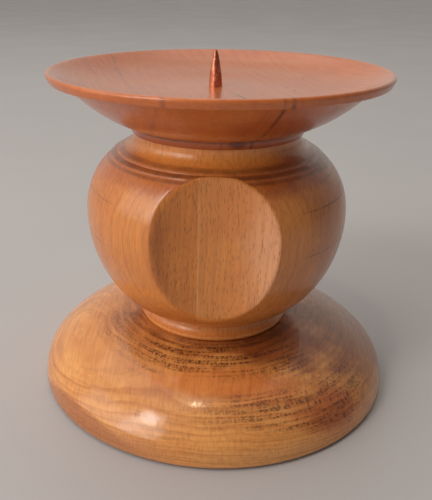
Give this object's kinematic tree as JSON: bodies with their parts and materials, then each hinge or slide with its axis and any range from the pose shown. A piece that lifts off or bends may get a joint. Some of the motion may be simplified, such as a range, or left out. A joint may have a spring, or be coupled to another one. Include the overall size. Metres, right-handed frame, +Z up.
{
  "type": "pricket candle holder",
  "caption": "Turned beech pricket candle holder: wide drip dish with a metal spike, scooped globe body on a domed round base.",
  "frame": {"origin": "centre of the felt under the base, on the table", "axes": "+Z up along the axis of turning, towards the spike; -Y towards the scooped flat that is taken as the front; +X to the right seen from the front"},
  "size_m": [0.166, 0.166, 0.1548],
  "materials": {
    "dish_beech": "gloss varnish",
    "left_beech": "gloss varnish",
    "right_beech": "gloss varnish",
    "base_beech": "gloss varnish",
    "dowel_beech": "raw",
    "spike_metal": "coppered and polished",
    "screw_steel": "zinc plated",
    "felt": "felt"
  },
  "bodies": {
    "root": {"drip_dish": "dish_beech", "pricket_spike": "spike_metal", "body_left_block": "left_beech", "body_right_block": "right_beech", "base_disc": "base_beech", "dish_dowel": "dowel_beech", "base_dowel": "dowel_beech", "base_screws": "screw_steel", "felt_disc": "felt"}
  },
  "joints": []
}
